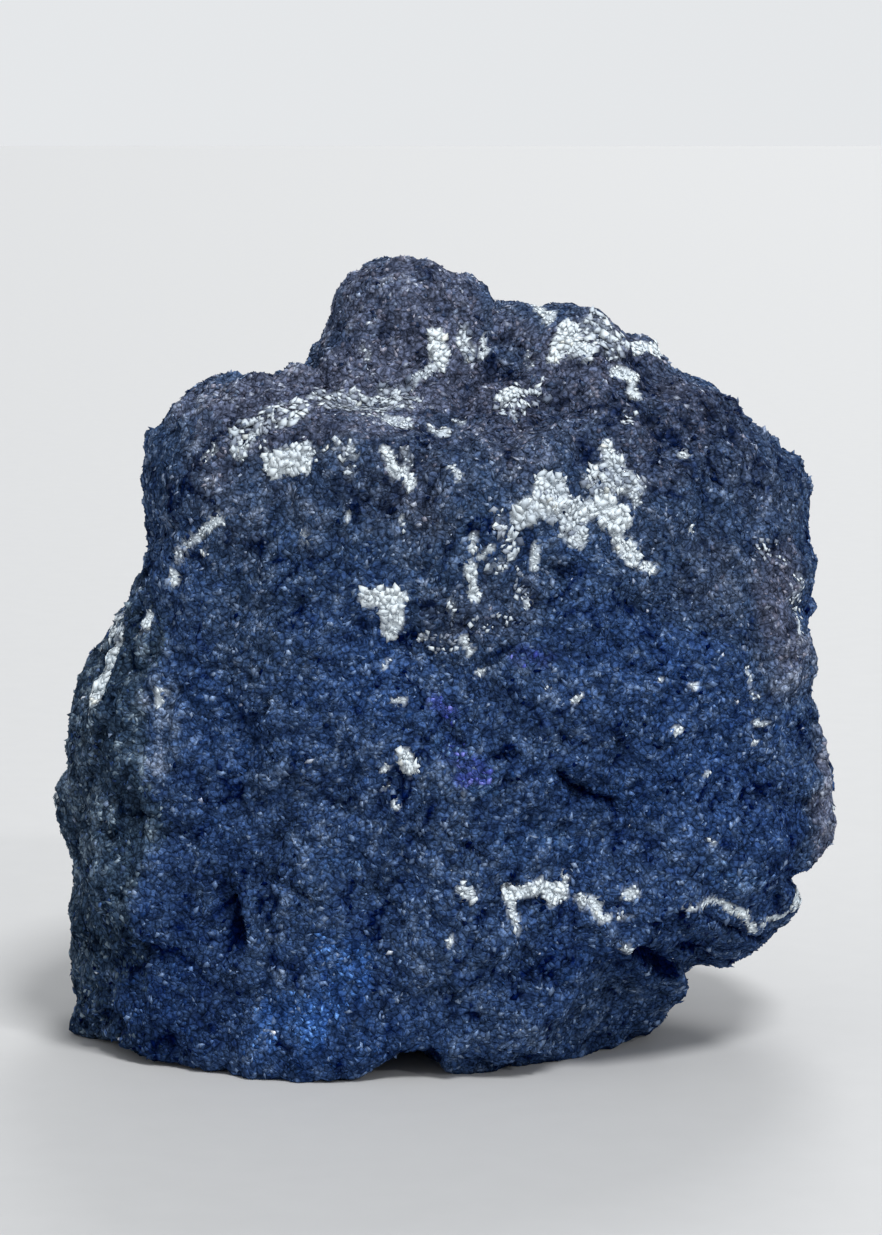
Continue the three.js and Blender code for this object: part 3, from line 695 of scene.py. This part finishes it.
class Marks:
    """What lies at each point: shares of the pale mineral, of dust and of each flash, a painted sheen, how
    far it is sunk, and how much the ground is lighter and greyer, the lighter partly painted shade and partly
    its own tone."""

    def __init__(self, points, directions, laid):
        count, front = len(points), looking_out(directions)
        warp = np.stack([swell(points, WARP_SIZE, WARP_SEED + axis) for axis in range(3)], 1)
        moved = points + WARP * warp
        ragged, drift = layered(points, RAGGED), layered(points, DRIFT)

        self.pale, self.solid, self.thick = np.zeros(count), np.zeros(count), np.full(count, THICKNESS)
        for (strength,), radius, inside in insides(moved, directions, laid["pale"]):
            inside = inside + (RAGGED_MOST - strength) * ragged * radius + PALE_GROWN
            share = min(1, strength + PALE_SPARE) * np.clip(0.5 + inside / PALE_RIM, 0, 1)
            here = share > self.pale
            self.pale[here], self.solid[here], self.thick[here] = share[here], strength, radius

        self.dust = np.zeros(count)
        for (strength,), _, inside in insides(moved, directions, laid["dust"]):
            self.dust = np.maximum(self.dust, strength * smooth_step(0.5 + (inside + drift) / DUST_RIM))
        raised = smooth_step((directions[:, Z] - DUST_SLOPE) / DUST_EASE)
        elsewhere = np.maximum(raised, DUST_BEHIND * (1 - front))
        self.dust = np.maximum(self.dust, DUST_SHARE * patches(points, *DUST_PATCHES) * elsewhere)

        # The flashes are a painted sheen
        self.flashes = np.zeros((len(FLASH_KINDS), count))
        for (kind, strength), radius, inside in insides(moved, directions, laid["flash"]):
            share = strength * smooth_step(0.5 + (inside + RAGGED_FLASH * ragged * radius) / FLASH_RIM)
            self.flashes[kind] = np.maximum(self.flashes[kind], share)
        rare = COBALT_SHARE * patches(points, *COBALT_PATCHES) * (1 - front)
        self.flashes[COBALT] = np.maximum(self.flashes[COBALT], rare)

        # Painted light and shade, with the ground's own tone, and how much greyer its colour is
        self.shade, self.greyer = np.zeros(count), np.zeros(count)
        for (light, grey), radius, inside in insides(moved, directions, laid["shade"]):
            share = smooth_step(0.5 + (inside + drift) / (SHADE_RIM + radius))
            self.shade += light * share
            self.greyer += grey * share
        self.sunk = sunk_at(points, directions, laid["crack"])


def pale_light(points, marks):
    """How light the pale mineral is, from 0 to 1: mottled, darker between its chips by painted shade, whiter
    and more even where it lies solid."""
    mottled = layered(points, PALE_MOTTLE) + layered(points, PALE_CHIP_SHADE, lump)
    solid = np.maximum(marks.solid - SOLID_START, 0)
    return PALE_LIGHT + mottled * (1 - SOLID_EVEN * solid) + PALE_SOLID * solid


def left_share(points, directions):
    """1 on the left wall, 0 elsewhere, with a wandering edge against the face beside it."""
    wall, beside = (
        directions @ unit(looks) / distance for looks, distance in (FACES["left wall"], FACES["front left"])
    )
    edge, drift = LEFT_EDGE + layered(points, LEFT_WANDER), layered(points, LEFT_DRIFT)
    share = smooth_step(0.5 + (wall - edge * beside) / np.abs(LEFT_RIM * beside))
    share *= smooth_step((LEFT_UP - directions[:, Z] + drift) / LEFT_UP_FADE)
    return share * smooth_step((LEFT_ACROSS - directions[:, X] + drift) / LEFT_ACROSS_FADE)


def ground(points, directions, fine, marks):
    """How grey the blue is, counted along the ladder of kinds, how light, with painted shade, and the left
    wall's share.
    """
    on_left, grains = left_share(points, directions), layered(points, GRAINS)
    grey = GREY_MIDDLE + layered(points, GREY_LAYERS) + GREY_OF_DUST * marks.dust
    grey += GREY_OF_HEIGHT * smooth_step((points[:, Z] - GREY_LOW) / GREY_CLIMB) + marks.greyer
    grey += GREY_OF_GRAIN * grains
    light = LIGHT_MIDDLE + LIGHT_OF_GRAIN * grains + layered(points, LIGHT_LAYERS)
    # Painted shade: darker where the fine height is low, in cracks and pits and in crevices, with the
    # strokes' painted light and shade
    light += PAINTED_SHADE_OF_HEIGHT * fine - PAINTED_SHADE_IN_CRACKS * marks.sunk + marks.shade
    light += LIGHT_OF_LEFT * on_left - PAINTED_SHADE_IN_CREVICES * crevices(points)
    return np.clip(grey, 0, len(LADDER) - 1), light, on_left


# ---- meshes


def placed(name, data):
    """A new object in the scene."""
    made = bpy.data.objects.new(name, data)
    bpy.context.scene.collection.objects.link(made)
    return made


def new_mesh(name, points, faces, material, tint, uv):
    """A piece from points in millimetres and faces that all have the same number of corners, with a colour
    for each point and a place on the map for each face corner."""
    mesh = bpy.data.meshes.new(name)
    corners = faces.shape[1]
    mesh.vertices.add(len(points))
    mesh.vertices.foreach_set("co", (points * MM).astype(np.float32).ravel())
    mesh.loops.add(faces.size)
    mesh.loops.foreach_set("vertex_index", faces.astype(np.int32).ravel())
    mesh.polygons.add(len(faces))
    mesh.polygons.foreach_set("loop_start", np.arange(0, faces.size, corners, dtype=np.int32))
    colour = mesh.color_attributes.new("tint", "FLOAT_COLOR", "POINT")
    colour.data.foreach_set("color", tint.astype(np.float32).ravel())
    mesh.uv_layers.new(name="OFBake").data.foreach_set("uv", uv.astype(np.float32).ravel())
    mesh.update(calc_edges=True)
    mesh.materials.append(material)
    piece = placed(name, mesh)
    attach(piece, "root")
    return piece


def crystals(middles, normals, lengths, shape, tilt, random):
    """Closed crystals, one at each middle. Their points lie both ways along three square axes, each at its
    own share of the half-length, and the third axis tilts away from the skin's normal."""
    count = len(middles)
    third = unit(normals + tilt * random.normal(size=(count, 3)))
    second = unit(np.cross(third, random.normal(size=(count, 3))))
    first = np.cross(second, third)
    axes = np.stack([first, second, third], 1)
    half = lengths[:, None] * np.array(shape) * random.uniform(*HALF_SPREAD, (count, 3))
    points = np.empty((count, POINTS_EACH, 3))
    for axis in range(3):
        for way in range(2):
            sign = 1 - 2 * way
            skew = random.uniform(-SKEW, SKEW, (count, 2))
            reach = sign * half[:, axis] * random.uniform(*END_SPREAD, count)
            others = [k for k in range(3) if k != axis]
            points[:, 2 * axis + way] = (
                middles
                + reach[:, None] * axes[:, axis]
                + (skew[:, :1] * half[:, others[0], None]) * axes[:, others[0]]
                + (skew[:, 1:] * half[:, others[1], None]) * axes[:, others[1]]
            )
    outer = [(0, 2, 4), (2, 1, 4), (1, 3, 4), (3, 0, 4)]
    inner = [(2, 0, 5), (1, 2, 5), (3, 1, 5), (0, 3, 5)]
    faces = np.arange(count)[:, None, None] * POINTS_EACH + np.array(outer + inner)
    return points.reshape(-1, 3), faces.reshape(-1, 3)


def linear(colours):
    """Screen colours, 0 to 255, to the linear light that a shader takes, by the sRGB standard's curve."""
    c = np.asarray(colours, float) / 255
    return np.where(c < 0.04045, c / 12.92, ((c + 0.055) / 1.055) ** 2.4)


def ramp(stops, tone):
    """Colours from the dark stop at tone 0, through the middle one at a half, to the light one at 1."""
    tone = 2 * np.clip(tone, 0, 1)[:, None]
    low, high = np.minimum(tone, 1), np.maximum(tone - 1, 0)
    return stops[:, 0] * (1 - low) + stops[:, 1] * (low - high) + stops[:, 2] * high


def stops_of(names):
    """The three stops of each named kind, as linear light."""
    return linear(np.array([KINDS[name] for name in names]))


def laid_over(below, name, share, tone):
    """A kind's colour at a tone, laid over what is below it by a share."""
    stops = np.broadcast_to(stops_of([name]), (len(tone), 3, 3))
    return below + (ramp(stops, tone) - below) * share[:, None]


def palette_map(kinds, tones):
    """Each crystal's eight faces share one small triangle in its colour's own tile of the map."""
    tile = np.stack([(tones + 0.5) / TONES, (kinds + 0.5) / len(KINDS)], 1)
    triangle = TILE_SHARE * np.array([(-1, -1), (1, -1), (0, 1)]) / np.array([TONES, len(KINDS)])
    corners = tile[:, None, None] + np.broadcast_to(triangle, (FACES_EACH, 3, 2))
    return corners.reshape(-1, 2)


def kinds_at(points, directions, fine, marks, random):
    """Draws a kind and a tone for each point, and says which are pale and how thick their stroke is."""
    grey, light, on_left = ground(points, directions, fine, marks)
    count, last, number = len(points), len(LADDER) - 1, list(KINDS).index
    rung = np.clip(np.round(grey + random.uniform(-RUNG_SPREAD, RUNG_SPREAD, count)), 0, last).astype(int)
    kinds = np.array([number(name) for name in LADDER])[rung]

    def turn(name, share, among=True):
        kinds[(random.random(count) < share) & among] = number(name)

    turn("brown dust", BROWN_SHARE, rung == last)
    turn("green grey", GREEN_SHARE * on_left)
    for name, flash in zip(FLASH_KINDS, marks.flashes):
        turn(name, flash)
    is_pale = random.random(count) < marks.pale
    kinds[is_pale] = number("pale")
    turn("cream", CREAM_SHARE, is_pale)
    kinds[is_pale & (random.random(count) > marks.solid + HAZE_SPARE)] = number("haze")
    draw = random.normal(size=count)
    tone = light + LIGHT_SPREAD * draw + LIGHT_TAIL * np.maximum(draw - TAIL_START, 0)
    # Painted sheen: the flashes are lighter
    tone += FLASH_LIGHT * marks.flashes.max(0)
    pale_tone = pale_light(points, marks) + PALE_SPREAD * random.normal(size=count)
    tone = np.where(is_pale, pale_tone, tone)
    # Painted glints among the blue crystals
    turn("glint", PAINTED_GLINTS, ~is_pale)
    tones = np.clip(np.round(tone * (TONES - 1)), 0, TONES - 1).astype(int)
    return kinds, tones, is_pale, marks.thick * (0.5 + 0.5 * marks.solid)


# ---- materials


class Value:
    """A number that a node puts out. Arithmetic on it adds Math nodes to its material."""

    def __init__(self, maker, socket):
        self.maker, self.socket = maker, socket

    def math(self, operation, first, second):
        return self.maker.node("ShaderNodeMath", {"operation": operation}, {0: first, 1: second})

    def __add__(self, other):
        return self.math("ADD", self, other)

    def __rsub__(self, other):
        return self.math("SUBTRACT", other, self)

    def __mul__(self, other):
        return self.math("MULTIPLY", self, other)

    __radd__, __rmul__ = __add__, __mul__

    def between(self, low, high):
        """low at 0, high at 1."""
        return self * (high - low) + low

    def rise(self, low, high):
        """0 at low, 1 at high, smooth between."""
        inputs = {"Value": self, "From Min": low, "From Max": high}
        return self.maker.node("ShaderNodeMapRange", {"interpolation_type": "SMOOTHSTEP"}, inputs)


class Finish:
    """A material under construction."""

    def __init__(self, name):
        self.material = bpy.data.materials.new(name)
        self.material.use_nodes = True
        self.tree = self.material.node_tree
        self.shader = next(n for n in self.tree.nodes if n.type == "BSDF_PRINCIPLED")

    def put(self, socket, value):
        if isinstance(value, Value):
            self.tree.links.new(value.socket, socket)
        else:
            socket.default_value = value

    def node(self, kind, settings=None, inputs=None, output=0):
        """Any node: its type, its settings, and what its sockets take, by name or number."""
        made = self.tree.nodes.new(kind)
        for key, value in (settings or {}).items():
            setattr(made, key, value)
        for key, value in (inputs or {}).items():
            self.put(made.inputs[key], value)
        return Value(self, made.outputs[output])

    def attribute(self, name, output="Color"):
        return self.node("ShaderNodeAttribute", {"attribute_name": name}, output=output)

    def noise(self, place, size, detail, roughness):
        """Soft noise from 0 to 1, size in millimetres."""
        inputs = {"Vector": place, "Scale": 1 / (size * MM), "Detail": detail, "Roughness": roughness}
        return self.node("ShaderNodeTexNoise", {}, inputs, "Fac")

    def cells(self, place, size, output, feature="F1"):
        inputs = {"Vector": place, "Scale": 1 / (size * MM)}
        return self.node("ShaderNodeTexVoronoi", {"feature": feature}, inputs, output)

    def set(self, **sockets):
        """Sockets of the shader, with _ for a space."""
        for name, value in sockets.items():
            self.put(self.shader.inputs[name.replace("_", " ")], value)
        return self.material

    def sheen(self, colour, roughness, metal, specular):
        return self.set(Base_Color=colour, Roughness=roughness, Metallic=metal, Specular_IOR_Level=specular)


def skin_finish():
    """The mass between the crystals: its own tint, darker in a fine grain's gaps by painted shade."""
    made = Finish("covellite_mass")
    place = made.node("ShaderNodeTexCoord", output="Object")
    own = made.node("ShaderNodeSeparateColor", {}, {0: made.cells(place, MASS_GRAIN, "Color")}, "Red")
    # Painted shade in the gaps between the grains
    gap = made.cells(place, MASS_GRAIN, "Distance", "DISTANCE_TO_EDGE").rise(0.0, MASS_GAP)
    fine = made.noise(place, *MASS_NOISE).rise(NOISE_LOW, NOISE_HIGH)
    tone = own.between(*MASS_OWN) * gap.between(*MASS_GAP_SHADE) * fine.between(*MASS_FINE)
    tone = tone + (1.0 - tone) * (made.attribute("tint", "Alpha") * PALE_EVEN)
    height = gap * HEIGHT_OF_GAP + fine * HEIGHT_OF_NOISE + own * HEIGHT_OF_GRAIN
    bumped = {"Strength": BUMP, "Distance": BUMP_DEPTH * MM, "Height": height}
    made.set(Normal=made.node("ShaderNodeBump", {}, bumped))
    scaled = {0: made.attribute("tint"), "Scale": tone}
    colour = made.node("ShaderNodeVectorMath", {"operation": "SCALE"}, scaled)
    return made.sheen(colour, own.between(*MASS_ROUGH), *MASS_SHEEN)


def crystal_finish(name, *sheen):
    """One crystal has one tint. The sheen of its broken faces is the same on all."""
    made = Finish(name)
    return made.sheen(made.attribute("tint"), *sheen)


def floor_finish():
    """Pale and faintly mottled."""
    made = Finish("studio_floor")
    fine = made.noise(made.node("ShaderNodeTexCoord", output="Object"), *FLOOR_NOISE)
    shades = {number: tint + fine * FLOOR_MOTTLE for number, tint in enumerate(FLOOR_TINT)}
    colour = made.node("ShaderNodeCombineColor", {}, shades)
    return made.set(Base_Color=colour, Roughness=FLOOR_ROUGHNESS)


# ---- the skin

directions, quads, skin_uv = cube_grid(SKIN_CELLS)
directions = unit(directions * SPREAD)
skin, fine = skin_points(directions)
laid = {name: laid_on(skin, directions, strokes) for name, strokes in MARKINGS.items()}
sunk = sunk_at(skin, directions, laid["crack"])
skin, fine = skin - directions * sunk[:, None], fine - sunk
skin[:, Z] = np.maximum(skin[:, Z], 0)
triangles = np.concatenate([quads[:, [0, 1, 2]], quads[:, [0, 2, 3]]])
if (triangle_normals(skin, triangles) * (skin[triangles[:, 0]] - HEART - PLACE)).sum() < 0:
    quads, skin_uv = quads[:, ::-1], skin_uv[:, ::-1]
    triangles = triangles[:, ::-1]
normals = point_normals(skin, triangles)

rng = np.random.default_rng(SEED)
laid["pale"] += laid_elsewhere(skin, directions, rng)
marks = Marks(skin, directions, laid)
grey, light, on_left = ground(skin, directions, fine, marks)
rung = np.minimum(grey.astype(int), len(LADDER) - 2)
between = (grey - rung)[:, None, None]
ladder = stops_of(LADDER)
light = light * SKIN_LIGHT
skin_tint = ramp(ladder[rung] * (1 - between) + ladder[rung + 1] * between, light)
skin_tint = laid_over(skin_tint, "green grey", GREEN_SHARE * on_left, light)
# Painted sheen of the blue flashes, laid on the skin
for flash, name in zip(marks.flashes, FLASH_KINDS):
    skin_tint = laid_over(skin_tint, name, flash, light)
solid = smooth_step(marks.pale * marks.solid * PALE_OVER - PALE_BARE)
skin_tint = laid_over(skin_tint, "pale", solid, pale_light(skin, marks) - PALE_BELOW)
skin_tint = np.column_stack([skin_tint, solid])
skin_piece = new_mesh("covellite_skin", skin, quads, skin_finish(), skin_tint, skin_uv)
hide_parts("covellite_stone")

# ---- the crystals

areas = np.linalg.norm(triangle_normals(skin, triangles), axis=1)
areas[skin[triangles].max(1)[:, Z] < CLEAR_OF_FLOOR] = 0
running = np.cumsum(areas)
drawn = (np.arange(CRYSTAL_COUNT) + rng.random(CRYSTAL_COUNT)) / CRYSTAL_COUNT * running[-1]
chosen = np.minimum(np.searchsorted(running, drawn), len(areas) - 1)
share = rng.random((CRYSTAL_COUNT, 2))
share = np.where(share.sum(1, keepdims=True) > 1, 1 - share, share)
weights = np.column_stack([1 - share.sum(1), share])
corners = triangles[chosen]
places = (skin[corners] * weights[:, :, None]).sum(1)
outward = unit((normals[corners] * weights[:, :, None]).sum(1))
rays = unit(places - HEART - PLACE)
marks = Marks(places, rays, laid)
kinds, tones, is_pale, thick = kinds_at(places, rays, (fine[corners] * weights).sum(1), marks, rng)
lengths = np.where(is_pale, PALE_HALF * np.clip(thick / PALE_FULL, *PALE_SIZES), CRYSTAL_HALF)
lengths = lengths * np.minimum(rng.lognormal(0, LENGTH_SPREAD, CRYSTAL_COUNT), LONGEST)
in_crack = rng.random(CRYSTAL_COUNT) < CRACK_BARE * marks.sunk - CRACK_KEPT
filled = smooth_step(GAP_KEPT + GAP_OF_GRAIN * layered(places, GRAINS))
in_gap = ~is_pale & (rng.random(CRYSTAL_COUNT) > filled)
kept = (places[:, Z] > CLEAR_OF_FLOOR) & ~in_crack & ~in_gap
rise = np.where(is_pale, PALE_RISE, CRYSTAL_RISE) + RISE_SPREAD * rng.normal(size=CRYSTAL_COUNT)
places = places + outward * rise[:, None]

about = np.arctan2(rays[:, Y] / SPREAD[Y], rays[:, X] / SPREAD[X])
quarter = (np.floor((about / (math.pi / 2) - 0.5)) % 4).astype(int)
blue = (crystal_finish("covellite_crystals", *BLUE_SHEEN), CRYSTAL_SHAPE, CRYSTAL_TILT)
pale = (crystal_finish("pale_mineral", *PALE_SHEEN), PALE_SHAPE, PALE_TILT)
groups = [
    (f"blue_crystals_{side}", (quarter == number) & ~is_pale, *blue)
    for number, side in enumerate(("back", "left", "front", "right"))
]
groups.append(("pale_crystals", is_pale, *pale))
for name, members, finish, shape, tilt in groups:
    mine = np.flatnonzero(members & kept)
    points, faces = crystals(places[mine], outward[mine], lengths[mine], shape, tilt, rng)
    colour = ramp(stops_of(KINDS)[kinds[mine]], tones[mine] / (TONES - 1))
    tint = np.repeat(colour, POINTS_EACH, axis=0)
    tint = np.column_stack([tint, np.ones(len(tint))])
    new_mesh(name, points, faces, finish, tint, palette_map(kinds[mine], tones[mine]))

# ---- studio

square = [(-1, -1), (1, -1), (1, 1), (-1, 1)]
ground_mesh = bpy.data.meshes.new("studio_floor")
ground_mesh.from_pydata([(FLOOR_HALF * x, FLOOR_HALF * y, 0) for x, y in square], [], [(0, 1, 2, 3)])
ground_mesh.materials.append(floor_finish())
floor = placed("studio_floor", ground_mesh)

world = bpy.data.worlds.new("studio")
world.use_nodes = True
background = world.node_tree.nodes["Background"]
background.inputs["Color"].default_value = WORLD_COLOUR
# The world lights the stone by one strength, and the camera alone sees it by another, to match the far floor
seen = world.node_tree.nodes.new("ShaderNodeLightPath").outputs["Is Camera Ray"]
switch = world.node_tree.nodes.new("ShaderNodeMapRange")
switch.inputs["To Min"].default_value = WORLD_STRENGTH
switch.inputs["To Max"].default_value = BACKDROP_STRENGTH
world.node_tree.links.new(seen, switch.inputs["Value"])
world.node_tree.links.new(switch.outputs["Result"], background.inputs["Strength"])
bpy.context.scene.world = world
bpy.context.scene.view_settings.view_transform = "Standard"

for name, (place, size, strength) in LAMPS.items():
    sun = bpy.data.lights.new(name, "SUN")
    sun.angle, sun.energy = math.radians(size), strength
    away = np.array(place) - np.array(LAMP_AIM)
    flat = math.hypot(away[X], away[Y])
    lamp = placed(name, sun)
    lamp.location = place
    lamp.rotation_euler = (math.atan2(flat, away[Z]), 0, math.atan2(away[X], -away[Y]))

camera = bpy.data.cameras.new("camera")
camera.angle = 2 * math.atan(PICTURE[1] / 2 / FOCAL)
camera.clip_start = MM
viewer = placed("camera", camera)
viewer.location = EYE * MM
viewer.rotation_euler = (math.pi / 2 - DOWN, 0, 0)
bpy.context.scene.camera = viewer
